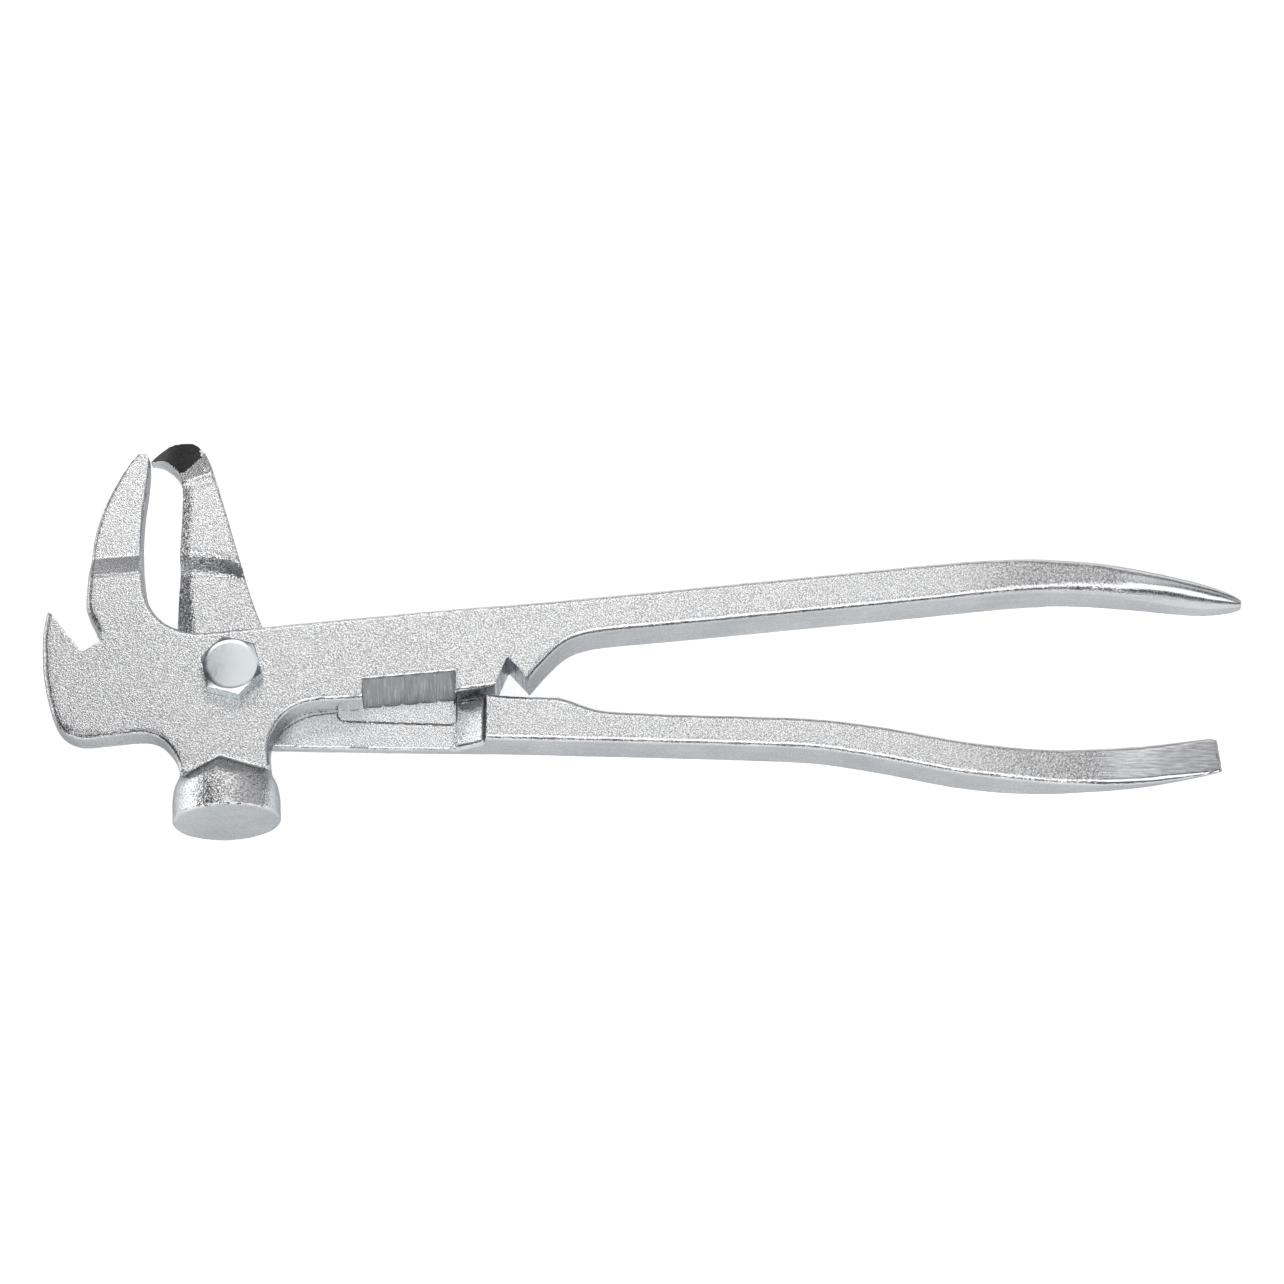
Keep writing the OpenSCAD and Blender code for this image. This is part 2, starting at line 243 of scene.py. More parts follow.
def front_field(x, y, z, d, claw, wire):
    jaw = step(y, 22, 29) * (x < 0)
    zp = 1.75 * (1 - jaw) * (x < 58)
    draft = 0.012 + 0.03 * jaw + 0.01 * (x < 58)
    rough = waves(x, y, 0.9, 3)
    fleck = waves(x, y, 3.1, 5)
    tipped = step(x, 214, 222)
    w = d + 0.03 * (x < 0) + np.where(z < zp, 0.3, 1) * draft * np.sqrt((z - zp) ** 2 + 0.02) + 0.015 * rough
    # front face with the sloped step at the root of the jaw
    low, high = 24.3 + 0.09 * (x + 26.9), 29.1 + 0.11 * (x + 27.4)
    t = (y - low) / (high - low)
    drop = smin(smax(2.3 * t, 0 * t, 0.1), 2.3 + 0 * t, 0.15) + 0.006 * np.maximum(y - high, 0) + 0.03 * (x + 34) * jaw
    lip = 0.13 * np.exp(-((y - low + 0.45) / 0.3) ** 2) * (x < 0)
    crown = 1 - 0.36 * step(x, 193, 214) * np.clip((y - curve(NOSE_MID, x)) / curve(NOSE_HALF, x), -1, 1) ** 2
    nose = curve(NOSE, x) * crown
    top = np.where(x < 0, H - drop + lip, nose)
    outer = step(-x, 28.5, 31.5) * (1 - 0.5 * jaw)
    r_top = np.where(x < 0, 1.0 - 0.3 * jaw + 0.7 * outer, np.where(x < 60, 1.0, curve(NOSE_R, x))) * (1 + 0.06 * rough)
    trim = (np.where(x < 60, 0.055, 0.016) + np.where(x < 60, 0.02, 0.008) * (rough + 0.6 * fleck)) * (1 - tipped)
    r_top = r_top * (1 - 0.55 * step(y, 47, 54.5) * (x < 0))
    back = np.where(x < 0, LAP - 1.2 * np.clip((y - 26.5) / 2.8, 0, 1), LAP)
    head = forged_edge(w, z - top, r_top, trim)
    head = rmax(head, back - z, 0.35 + 0.5 * jaw)
    head = np.maximum(head, x - 58)
    handle = forged_edge(w, z - top, r_top, trim)
    handle = rmax(handle, -z - np.where(x < 0, H, curve(BELLY, x)), np.where(x > 185, np.minimum(0.4 * r_top, 0.8), 0.3))
    handle = rmax(handle, 57.0 - x, 0.3)
    body = np.minimum(head, handle)
    body = rmin(body, hammer_field(x, y, z), 0.5)
    body = np.maximum(body, -claw)
    body = np.maximum(body, -wire)
    removed = np.maximum(np.maximum(-cutter_plane(x, y, z), 29.4 - x), x - 50.25)
    body = rmax(body, -removed, np.where(z > 2.5, 0.3, 0.03))
    return np.maximum(body, 4.05 - np.sqrt(x * x + y * y))


RAMP = [[40, -2.5], [49.5, -2.5], [50.3, -2.25], [51, -1.83], [53, -0.5], [55.4, 1.15], [56.4, 1.95], [56.9, 3.1], [57.4, 5.3], [60, 12]]
LOWER = [[-24, 51.3], [-21, 51.3], [-19.7, 51.9], [-17.5, 52.9], [-16, 52.2], [-15.1, 51.7], [-14.3, 51.35], [-13.6, 51.2], [-12.1, 52.6], [-10.3, 54.6], [-9.6, 55.6], [-8.4, 57.4], [-7, 59]]
UPPER = [[-24, 57.1], [-21, 57.1], [-19.7, 58.1], [-17.5, 59.8], [-16, 60.4], [-14.4, 60.8], [-13, 60.8], [-11.5, 60.6], [-10.5, 60.4], [-9.2, 60.8], [-7, 62.4]]


def facet_height(x, y):
    t = y - 45.4 - 0.33 * (x + 12.8) - 2.6 * np.maximum(-14.6 - x, 0)
    return 3 - 0.35 * np.maximum(t - 2.6, 0)


def hook_ground(x, y, z):
    lo, up = np.interp(x, *np.array(LOWER).T), np.interp(x, *np.array(UPPER).T)
    start = np.minimum(3, facet_height(x, lo))
    return (z - start + (start + 2.9) * (y - lo) / (up - lo)) * 0.76


def hook_facet(x, y, z):
    return (z - facet_height(x, y)) * 0.92


def bevel_field(x, y, z, top):
    xb = np.interp(y, [10, 15, 20, 27, 33, 43, 47], [-9.6, -10.0, -10.6, -11.0, -11.3, -11.2, -11.4])
    return -0.36 * (x - xb) + 0.933 * (z - top) - 0.35 * np.maximum(y - 46.5, 0)


def raised(z, height, d):
    """A low step with a sloping side, standing where d is negative."""
    return np.maximum(z - height, 0.766 * d + 0.643 * (z - height))


def rear_field(x, y, z, d, strip):
    up = (x < 12) & (y > 8)
    draft = np.where(up, 0.05, 0.012)
    rough = waves(x, y, 0.8, 11)
    fleck = waves(x, y, 3.3, 7)
    zp = np.where((x < 50) & ~up, -3.6, 0.0)
    hook = (x < -8) & (y > 48)
    draft = np.where(hook & (x < -14), 0.02, draft)
    w = d + np.where(z < zp, 0.3, 1) * draft * np.sqrt((z - zp) ** 2 + 0.02) + 0.015 * rough
    # lap plate, its strip and pad, and the ramp up to the handle
    pad = rmax(rmax(23.6 - x, x - 50.15, 0.3), -9.62 - 0.035 * (x - 37) - y, 1.6)
    lap = np.minimum(raised(z, LAP_LOW + 0.32, np.where(x < 26, strip, 5.0)), raised(z, LAP_LOW + 0.46, pad))
    lap = np.minimum(lap, z - LAP_LOW)
    lap = np.where(up & (y > 12), z + 1.86, lap)
    lap = rmax(lap, x - np.where(y > -10.25, 50.2, 49.45), 0.08)
    lap = np.minimum(lap, (z - curve(RAMP, x)) * 0.79)
    lap = np.where((y > -5.4) & (x < 58) & (x > 49.7), z - LAP_LOW, lap)
    y0 = np.interp(x, [-14, -8, -1.7, 3], [27.0, 27.0, 26.3, 25.0])
    y1 = np.interp(x, [-14, -7.6, -3, -0.7, 3], [30.6, 30.3, 29.2, 28.2, 27.0])
    t = 4.86 * (y - y0) / (y1 - y0)
    rise = smin(smax(t, 0 * t, 0.75), 4.86 + 0 * t, 1.5)
    rise = np.where(up & (y > 20), rise, 0)
    tf = y - 45.4 - 0.33 * (x + 12.8) - 2.6 * np.maximum(-14.6 - x, 0)
    rise = rise - np.where(up & (y > 26), 0.03 * (x + 14) + 0.5 * (1 - step(tf, 0.0, 2.5)), 0) * np.clip(rise / 4.86, 0, 1)
    top = np.where(up, -1.86 + rise, np.where(x < 57.3, H, curve(BLADE, x)))
    face = np.where(up | (x >= 57.3), z - top, np.maximum(z - H, lap))
    back = np.where(up, -H + 2.3 * np.clip((y - 26.3) / 4.2, 0, 1), -curve(BLADE, x))
    thin = np.where(x > 120, np.minimum(curve(BLADE, x) * 0.8, 1.25), 1.25) * (1 + 0.06 * rough)
    r_top = np.where(up, np.where(y > 12, 0.7, 0.3), np.where(x < 49.7, 0.7, thin))
    r_top = np.where(hook, 0.12, r_top)
    r_back = np.where(hook, 0.15, np.where(up, 0.6, np.where(x < 57, 0.4, 0.5 * thin)))
    trim = np.where(up | (x > 205), -0.3, 0.03 + 0.02 * rough + 0.012 * fleck)
    body = forged_edge(w, face, r_top, trim)
    body = rmax(body, back - z, r_back)
    jawb = rmax(body, bevel_field(x, y, z, top), 0.12)
    body = np.where(up, jawb, body)
    hooked = np.maximum(np.maximum(body, hook_facet(x, y, z)), hook_ground(x, y, z))
    pit = 0.55 - np.sqrt((x + 8.35) ** 2 + (y - 50.9) ** 2 + (z - 2.35) ** 2)
    hooked = np.maximum(hooked, pit)
    body = np.where(y > 44, hooked, body)
    return np.maximum(body, 4.05 - np.sqrt(x * x + y * y))


# ---------------------------------------------------------------- surface extraction with sharp edges kept
def contour(axes, plans, field):
    X, Y, Z = axes
    nx, ny, nz = map(len, axes)
    gx, gy = np.meshgrid(X, Y, indexing="ij")
    plan2d = [polygon_field(p, gx.ravel(), gy.ravel())[0].reshape(nx, ny, 1) for p in plans]
    F = field(X[:, None, None], Y[None, :, None], Z[None, None, :], *plan2d)
    F = np.broadcast_to(F, (nx, ny, nz))
    S = F < 0
    points, cells, quads = [], [], []
    strides = np.array([(ny - 1) * (nz - 1), nz - 1, 1])
    for axis in range(3):
        a = [slice(None)] * 3
        b = [slice(None)] * 3
        a[axis], b[axis] = slice(0, -1), slice(1, None)
        hit = np.argwhere(S[tuple(a)] != S[tuple(b)])
        far = hit.copy()
        far[:, axis] += 1
        f0, f1 = F[tuple(hit.T)], F[tuple(far.T)]
        t = f0 / (f0 - f1)
        p = np.stack([axes[k][hit[:, k]] for k in range(3)], 1)
        p[:, axis] += t * (axes[axis][far[:, axis]] - axes[axis][hit[:, axis]])
        u, v = (axis + 1) % 3, (axis + 2) % 3
        c = []
        for du, dv in ((-1, -1), (0, -1), (0, 0), (-1, 0)):
            q = hit.copy()
            q[:, u] += du
            q[:, v] += dv
            c.append(q @ strides)
        c = np.stack(c, 1)
        flip = f0 > 0
        c[flip] = c[flip][:, ::-1]
        points.append(p)
        cells.append(c)
    P, C = np.vstack(points), np.vstack(cells)
    e = 0.01
    base = [polygon_field(p, P[:, 0], P[:, 1]) for p in plans]
    N = np.empty_like(P)
    for k in range(3):
        o = np.zeros(3)
        o[k] = e
        hi = field(P[:, 0] + o[0], P[:, 1] + o[1], P[:, 2] + o[2], *[b[0] + b[1] * o[0] + b[2] * o[1] for b in base])
        lo = field(P[:, 0] - o[0], P[:, 1] - o[1], P[:, 2] - o[2], *[b[0] - b[1] * o[0] - b[2] * o[1] for b in base])
        N[:, k] = hi - lo
    N /= np.maximum(np.linalg.norm(N, axis=1, keepdims=True), 1e-12)
    ids, inv = np.unique(C.ravel(), return_inverse=True)
    inv = inv.reshape(C.shape)
    m = len(ids)
    owner = inv.ravel()
    rep = np.repeat(np.arange(len(P)), 4)
    count = np.bincount(owner, minlength=m).astype(float)
    mass = np.stack([np.bincount(owner, P[rep, k], m) for k in range(3)], 1) / count[:, None]
    rel = P[rep] - mass[owner]
    nn = N[rep]
    proj = (rel * nn).sum(1)
    A = np.zeros((m, 3, 3))
    B = np.zeros((m, 3))
    for i in range(3):
        B[:, i] = np.bincount(owner, nn[:, i] * proj, m)
        for j in range(i, 3):
            A[:, i, j] = A[:, j, i] = np.bincount(owner, nn[:, i] * nn[:, j], m)
    A += 0.04 * np.eye(3)
    V = mass + np.linalg.solve(A, B[:, :, None])[:, :, 0]
    i = ids // strides[0]
    j = (ids % strides[0]) // strides[1]
    k = ids % strides[1]
    for axis, n in enumerate((i, j, k)):
        V[:, axis] = np.clip(V[:, axis], axes[axis][n], axes[axis][n + 1])
    return V, inv


def spread(parts):
    """Grid lines from several (start, stop, spacing) stretches."""
    out = []
    for a, b, s in parts:
        out.append(np.linspace(a, b, max(2, int(round((b - a) / s)) + 1))[:-1])
    return np.concatenate(out + [[parts[-1][1]]])


def mesh_object(name, verts, quads, angle=32):
    me = bpy.data.meshes.new(name)
    me.vertices.add(len(verts))
    me.vertices.foreach_set("co", world(verts).astype(np.float32).ravel())
    me.loops.add(quads.size)
    me.loops.foreach_set("vertex_index", quads.astype(np.int32).ravel())
    me.polygons.add(len(quads))
    me.polygons.foreach_set("loop_start", np.arange(0, quads.size, 4, dtype=np.int32))
    me.update(calc_edges=True)
    me.validate()
    me.polygons.foreach_set("use_smooth", np.ones(len(me.polygons), bool))
    me.set_sharp_from_angle(angle=math.radians(angle))
    ob = bpy.data.objects.new(name, me)
    bpy.context.scene.collection.objects.link(ob)
    return ob


def centres(ob):
    """Face centres and normals in the pivot frame, in millimetres."""
    n = len(ob.data.polygons)
    c, nr = np.zeros(n * 3), np.zeros(n * 3)
    ob.data.polygons.foreach_get("center", c)
    ob.data.polygons.foreach_get("normal", nr)
    return c.reshape(-1, 3) * 1000 - PIVOT, nr.reshape(-1, 3)


def vertex_arrays(ob):
    n = len(ob.data.vertices)
    c, nr = np.zeros(n * 3), np.zeros(n * 3)
    ob.data.vertices.foreach_get("co", c)
    ob.data.vertices.foreach_get("normal", nr)
    return c.reshape(-1, 3) * 1000 - PIVOT, nr.reshape(-1, 3)


def set_mask(ob, name, values):
    at = ob.data.attributes.new(name, "FLOAT", "POINT")
    at.data.foreach_set("value", np.clip(values, 0, 1).astype(np.float32))


FINE = 0.4
front_axes = (spread([(-45, 72, FINE), (72, 92, FINE * 1.6), (92, 196, 1.1), (196, 214, 0.8), (214, 231, 0.45)]),
              spread([(-37, 57, FINE)]), spread([(-13, -6, 0.55), (-6, 6, FINE * 0.95), (6, 13, 0.55)]) + 0.013)
V, Q = contour(front_axes, (FRONT, CLAW_CUT, WIRE_CUT), front_field)
front = mesh_object("front_lever_forging", V, Q)
rear_axes = (spread([(-23, 23, FINE), (23, 26, FINE * 0.7), (26, 48, FINE), (48, 58, FINE * 0.7), (58, 84, 0.7), (84, 170, 1.0), (170, 214, 0.8), (214, 224.5, 0.45)]) + 0.011,
             spread([(-28, -16, FINE), (-16, -5, FINE * 0.55), (-5, 48, FINE), (48, 62, FINE * 0.8)]) + 0.017, spread([(-6, 6, FINE * 0.95)]) + 0.013)
V, Q = contour(rear_axes, (REAR, STRIP), rear_field)
rear = mesh_object("rear_lever_forging", V, Q)
print("faces", len(front.data.polygons), len(rear.data.polygons))

# ---------------------------------------------------------------- bolt, washer, nut and its ring
HEAD_TURN = math.radians(-14)


def hexagon(x, y, turn, flats):
    worst = None
    for k in range(3):
        a = turn + math.radians(30 + 60 * k)
        d = np.abs(x * math.cos(a) + y * math.sin(a)) - flats / 2
        worst = d if worst is None else rmax(worst, d, 0.12)
    return worst


def thread(x, y, z, r, depth, pitch):
    turn = (z / pitch - np.arctan2(y, x) / (2 * math.pi)) % 1.0
    return np.sqrt(x * x + y * y) - r + depth * (1 - np.abs(2 * turn - 1))


def bolt_field(x, y, z):
    rho = np.sqrt(x * x + y * y)
    head = hexagon(x, y, HEAD_TURN, 12.78)
    dome = z - 9.47 + 0.0042 * rho ** 2
    head = rmax(head, dome, 0.1)
    cone = (rho - 5.6) * 0.342 + (z - 9.37) * 0.94
    head = rmax(head, cone, 0.14)
    head = rmax(head, 5.32 - z, 0.15)
    shank = np.maximum(rho - 3.98, z - 6)
    threaded = np.where(z < -5.6, thread(x, y, z, 3.98, 0.55, 1.25), shank)
    shank = np.maximum(np.maximum(shank, threaded), -12.42 - z)
    shank = np.maximum(shank, (rho - 3.3) * 0.7 + (-12.0 - z) * 0.7)
    return np.minimum(head, shank)


def washer_field(x, y, z):
    rho = np.sqrt(x * x + y * y)
    ring = rmax(rho - 7.97, 4.22 - rho, 0.1)
    slab = np.abs(z + 5.95) - 0.59 + 0.02 * np.maximum(rho - 7, 0)
    return rmax(ring, slab, 0.28)


def nut_field(x, y, z):
    rho = np.sqrt(x * x + y * y)
    body = hexagon(x, y, math.radians(-10), 12.78)
    body = rmax(body, z + 6.57, 0.12)
    body = rmax(body, (rho - 5.95) * 0.5 + (z + 6.75) * 0.866, 0.15)
    body = rmax(body, -10.75 - z, 0.2)
    body = rmax(body, (rho - 6.15) * 0.6 + (-10.6 - z) * 0.8, 0.2)
    collar = rmax(rho - 5.74, -12.53 - z, 0.55)
    collar = np.maximum(collar, z + 8)
    body = rmin(body, collar, 0.25)
    body = np.maximum(body, 4.02 - rho)
    return np.maximum(body, -np.maximum(rho - 4.98, np.abs(z + 11.35) - 0.82))


def ring_field(x, y, z):
    rho = np.sqrt(x * x + y * y)
    return rmax(rmax(rho - 4.97, 4.03 - rho + 0.05 * np.sin(np.arctan2(y, x) * 3), 0.1), np.abs(z + 11.35) - 0.79, 0.18)


def small(name, field, r, z0, z1, s, angle=28):
    line = np.arange(-r, r + s, s) + 0.007
    v, q = contour((line, line + 0.003, np.arange(z0, z1 + s, s) + 0.005), (), lambda x, y, z: field(x, y, z) + 0 * (x + y + z))
    return mesh_object(name, v, q, angle)


bolt = small("bolt_with_hex_head", bolt_field, 7.8, -12.8, 9.9, 0.2)
washer = small("turned_washer", washer_field, 8.4, -6.9, -5.0, 0.16)
nut = small("nut_with_collar", nut_field, 7.8, -12.9, -6.2, 0.19)
ring = small("nylon_lock_ring", ring_field, 5.3, -12.4, -10.3, 0.14)


# ---------------------------------------------------------------- material kit
def material(name):
    m = bpy.data.materials.new(name)
    m.use_nodes = True
    t = m.node_tree
    t.nodes.clear()
    out = t.nodes.new("ShaderNodeOutputMaterial")
    p = t.nodes.new("ShaderNodeBsdfPrincipled")
    t.links.new(p.outputs["BSDF"], out.inputs["Surface"])
    return m, t, p


def coords(t, scale=(1, 1, 1), turn=(0, 0, 0)):
    c = t.nodes.new("ShaderNodeTexCoord")
    mp = t.nodes.new("ShaderNodeMapping")
    mp.inputs["Scale"].default_value = scale
    mp.inputs["Rotation"].default_value = turn
    t.links.new(c.outputs["Object"], mp.inputs["Vector"])
    return mp.outputs["Vector"]


def noise(t, vector, scale, detail=2.0, rough=0.5, distort=0.0):
    n = t.nodes.new("ShaderNodeTexNoise")
    n.inputs["Scale"].default_value = scale
    n.inputs["Detail"].default_value = detail
    n.inputs["Roughness"].default_value = rough
    n.inputs["Distortion"].default_value = distort
    t.links.new(vector, n.inputs["Vector"])
    return n.outputs["Fac"]


def remap(t, value, a, b, c, d):
    n = t.nodes.new("ShaderNodeMapRange")
    for k, v in zip(("From Min", "From Max", "To Min", "To Max"), (a, b, c, d)):
        n.inputs[k].default_value = v
    t.links.new(value, n.inputs["Value"])
    return n.outputs["Result"]


def calc(t, op, a, b=None, c=None):
    n = t.nodes.new("ShaderNodeMath")
    n.operation = op
    for k, v in enumerate((a, b, c)):
        if v is None:
            continue
        if isinstance(v, (int, float)):
            n.inputs[k].default_value = v
        else:
            t.links.new(v, n.inputs[k])
    return n.outputs[0]


def mix(t, fac, a, b):
    n = t.nodes.new("ShaderNodeMix")
    n.data_type = "RGBA"
    for key, v in ((0, fac), (6, a), (7, b)):
        if isinstance(v, (int, float)):
            n.inputs[key].default_value = v
        elif isinstance(v, tuple):
            n.inputs[key].default_value = (*v, 1)
        else:
            t.links.new(v, n.inputs[key])
    return n.outputs[2]


def attribute(t, name):
    n = t.nodes.new("ShaderNodeAttribute")
    n.attribute_name = name
    return n.outputs["Fac"]


def bump(t, height, distance, strength=1.0, after=None):
    n = t.nodes.new("ShaderNodeBump")
    n.inputs["Distance"].default_value = distance
    n.inputs["Strength"].default_value = strength
    t.links.new(height, n.inputs["Height"])
    if after is not None:
        t.links.new(after, n.inputs["Normal"])
    return n.outputs["Normal"]


def plated():
    """Bright plating over a blasted forging; smooth where the mask says so. Its masks also paint light and shade:
    darker side walls, lighter sloped edges, dark speckle and dark lines.
    """
    m, t, p = material("plated_forging")
    v = coords(t)
    smooth_shade_mask = attribute(t, "smooth_and_shaded")
    edge = attribute(t, "edge")
    turned = coords(t, (1, 1, 1), (0.61, 0.43, 0.52))
    fine = noise(t, turned, 3900, 1.0, 0.5)
    coarse = noise(t, turned, 2000, 1.0, 0.5)
    pits_and_shade = attribute(t, "pits_and_shade")
    patches = noise(t, v, 70, 3.0, 0.55)
    grain = calc(t, "ADD", calc(t, "MULTIPLY", fine, 0.75), calc(t, "MULTIPLY", coarse, calc(t, "ADD", 0.35, calc(t, "MULTIPLY", pits_and_shade, 2.6))))
    amount = calc(t, "SUBTRACT", 1.0, calc(t, "MULTIPLY", calc(t, "MAXIMUM", smooth_shade_mask, attribute(t, "brushed")), 0.94))
    height = calc(t, "MULTIPLY", grain, amount)
    p.inputs["Metallic"].default_value = 1.0
    p.inputs["Specular Tint"].default_value = (0.43, 0.44, 0.455, 1)
    t.links.new(bump(t, height, 0.00009), p.inputs["Normal"])
    tone = remap(t, fine, 0.36, 0.62, 0.0, 1.0)
    light = mix(t, tone, (0.37, 0.373, 0.38), (1.0, 1.0, 1.0))
    # dark and white speckle where the mask is set: real coarse pits, and painted dark reflection and shade
    light = mix(t, pits_and_shade, light, mix(t, remap(t, coarse, 0.4, 0.6, 0.0, 1.0), (0.09, 0.091, 0.095), (1.0, 1.0, 1.0)))
    light = mix(t, remap(t, patches, 0.35, 0.75, 0.0, 0.2), light, (0.82, 0.825, 0.84))
    wall = mix(t, remap(t, patches, 0.3, 0.7, 0.0, 1.0), (0.51, 0.525, 0.54), (0.62, 0.632, 0.645))
    layer = noise(t, coords(t, (70, 90, 1900)), 1.0, 2.0, 0.55)
    wall = mix(t, remap(t, layer, 0.35, 0.65, 0.16, 0.0), wall, (0.31, 0.32, 0.33))
    streak = noise(t, coords(t, (110, 3300, 3300), (0, 0, 0.09)), 1.0, 3.0, 0.6)
    brushed = attribute(t, "brushed")
    light = mix(t, brushed, light, mix(t, remap(t, streak, 0.34, 0.66, 0.0, 1.0), (0.48, 0.485, 0.495), (0.84, 0.845, 0.855)))
    # smooth faces take the wall colour: a real smooth finish, and a darker base on the side walls that is painted shade
    colour = mix(t, smooth_shade_mask, light, wall)
    # painted highlight: sloped edge zones, and the rear lever's lap and pad, are lightened towards near white
    colour = mix(t, calc(t, "MULTIPLY", edge, 0.5), colour, (0.93, 0.935, 0.95))
    colour = mix(t, attribute(t, "shade"), colour, mix(t, tone, (0.02, 0.02, 0.022), (0.50, 0.50, 0.51)))
    t.links.new(colour, p.inputs["Base Color"])
    r = remap(t, coarse, 0.3, 0.7, 0.16, 0.26)
    r = calc(t, "ADD", r, calc(t, "MULTIPLY", smooth_shade_mask, 0.05))
    t.links.new(r, p.inputs["Roughness"])
    return m


def ground(name, scale, turn, dark, light, rough=0.3, depth=0.00003, aniso=0.0):
    """A face left by a grinding wheel: long fine scratches one way."""
    m, t, p = material(name)
    v = coords(t, scale, turn)
    lines = noise(t, v, 1.0, 4.0, 0.65)
    wide = noise(t, coords(t), 240, 2.0, 0.5)
    p.inputs["Metallic"].default_value = 1.0
    t.links.new(mix(t, remap(t, lines, 0.3, 0.7, 0.0, 1.0), dark, light), p.inputs["Base Color"])
    t.links.new(bump(t, calc(t, "ADD", lines, calc(t, "MULTIPLY", wide, 0.25)), depth), p.inputs["Normal"])
    t.links.new(remap(t, lines, 0.3, 0.7, rough + 0.08, rough - 0.06), p.inputs["Roughness"])
    return m


def dark_hook_paint():
    """The hook's ground top, painted near black as a painted dark reflection; matt, with fine pits."""
    m, t, p = material("hook_ground_painted_dark")
    v = coords(t)
    pits = noise(t, v, 2100, 3.0, 0.6)
    drag = noise(t, coords(t, (300, 2600, 900)), 1.0, 3.0, 0.6)
    both = calc(t, "ADD", calc(t, "MULTIPLY", pits, 0.7), calc(t, "MULTIPLY", drag, 0.3))
    p.inputs["Metallic"].default_value = 0.55
    p.inputs["Specular IOR Level"].default_value = 0.3
    # near-black base colour: painted dark reflection
    t.links.new(mix(t, remap(t, both, 0.36, 0.66, 0.0, 1.0), (0.012, 0.012, 0.013), (0.062, 0.061, 0.061)), p.inputs["Base Color"])
    t.links.new(remap(t, pits, 0.3, 0.7, 0.5, 0.72), p.inputs["Roughness"])
    t.links.new(bump(t, both, 0.00008), p.inputs["Normal"])
    return m


def zinc(name, a, b, tint, rough=0.19):
    """Bright zinc with a faint passivated tint that drifts over the part."""
    m, t, p = material(name)
    v = coords(t)
    cloud = noise(t, v, 210, 3.0, 0.6)
    fine = noise(t, v, 1500, 2.0, 0.5)
    drift = noise(t, v, 90, 2.0, 0.5, 0.6)
    base = mix(t, remap(t, cloud, 0.3, 0.7, 0.0, 1.0), a, b)
    base = mix(t, remap(t, drift, 0.42, 0.72, 0.0, 0.7), base, tint)
    p.inputs["Metallic"].default_value = 1.0
    t.links.new(base, p.inputs["Base Color"])
    t.links.new(remap(t, cloud, 0.3, 0.7, rough - 0.05, rough + 0.1), p.inputs["Roughness"])
    t.links.new(bump(t, calc(t, "ADD", calc(t, "MULTIPLY", cloud, 0.8), calc(t, "MULTIPLY", fine, 0.2)), 0.00003), p.inputs["Normal"])
    return m


def nylon():
    m, t, p = material("blue_nylon")
    v = coords(t)
    n = noise(t, v, 700, 3.0, 0.55)
    t.links.new(mix(t, remap(t, n, 0.3, 0.7, 0.0, 1.0), (0.03, 0.10, 0.38), (0.06, 0.16, 0.50)), p.inputs["Base Color"])
    p.inputs["Subsurface Weight"].default_value = 0.15
    p.inputs["Subsurface Radius"].default_value = (0.0004, 0.0005, 0.0009)
    t.links.new(remap(t, n, 0.3, 0.7, 0.38, 0.52), p.inputs["Roughness"])
    t.links.new(bump(t, n, 0.00003), p.inputs["Normal"])
    return m


M_PLATED = plated()
M_CUTTER = ground("ground_cutter", (3200, 260, 180), (0, 0, -0.092), (0.30, 0.303, 0.307), (0.66, 0.665, 0.67), 0.3, 0.00004)
M_NOTCH = ground("ground_notch", (420, 420, 2600), (0, 0, 0), (0.19, 0.208, 0.235), (0.29, 0.31, 0.34), 0.24, 0.00002)
M_HOOK = dark_hook_paint()
M_ZINC = zinc("zinc_bolt", (0.66, 0.69, 0.71), (0.86, 0.875, 0.89), (0.68, 0.76, 0.77))
# darker copy of the bolt zinc for the head's flats: painted shade
M_ZINC_SHADED_SIDE = zinc("zinc_bolt_sides_painted_shade", (0.42, 0.47, 0.485), (0.60, 0.645, 0.655), (0.48, 0.57, 0.58), 0.22)
M_ZINC_NUT = zinc("zinc_nut", (0.70, 0.74, 0.78), (0.80, 0.84, 0.87), (0.74, 0.80, 0.74), 0.3)
M_NYLON = nylon()

# ---------------------------------------------------------------- masks and face materials
for ob in (front, rear):
    ob.data.materials.append(M_PLATED)
front.data.materials.append(M_CUTTER)
front.data.materials.append(M_NOTCH)
rear.data.materials.append(M_HOOK)
rear.data.materials.append(M_CUTTER)

C, N = centres(front)
slot = np.zeros(len(C), np.int32)
on_cut = (np.abs(cutter_plane(C[:, 0], C[:, 1], C[:, 2])) < 0.06) & (C[:, 0] > 29.3) & (C[:, 0] < 50.4) & (N @ CUT_N > 0.9)
slot[on_cut] = 1
wire_d = polygon_field(WIRE_CUT, C[:, 0], C[:, 1])[0]
slot[(np.abs(wire_d) < 0.06) & (np.abs(N[:, 2]) < 0.3)] = 2
front.data.polygons.foreach_set("material_index", slot)

C, N = centres(rear)
slot = np.zeros(len(C), np.int32)
slot[(np.abs(hook_ground(C[:, 0], C[:, 1], C[:, 2])) < 0.07) & (C[:, 1] > 49) & (C[:, 0] < -9.75 - 0.25 * (C[:, 1] - 55.6)) & (N[:, 2] > 0.2)] = 1
rear.data.polygons.foreach_set("material_index", slot)

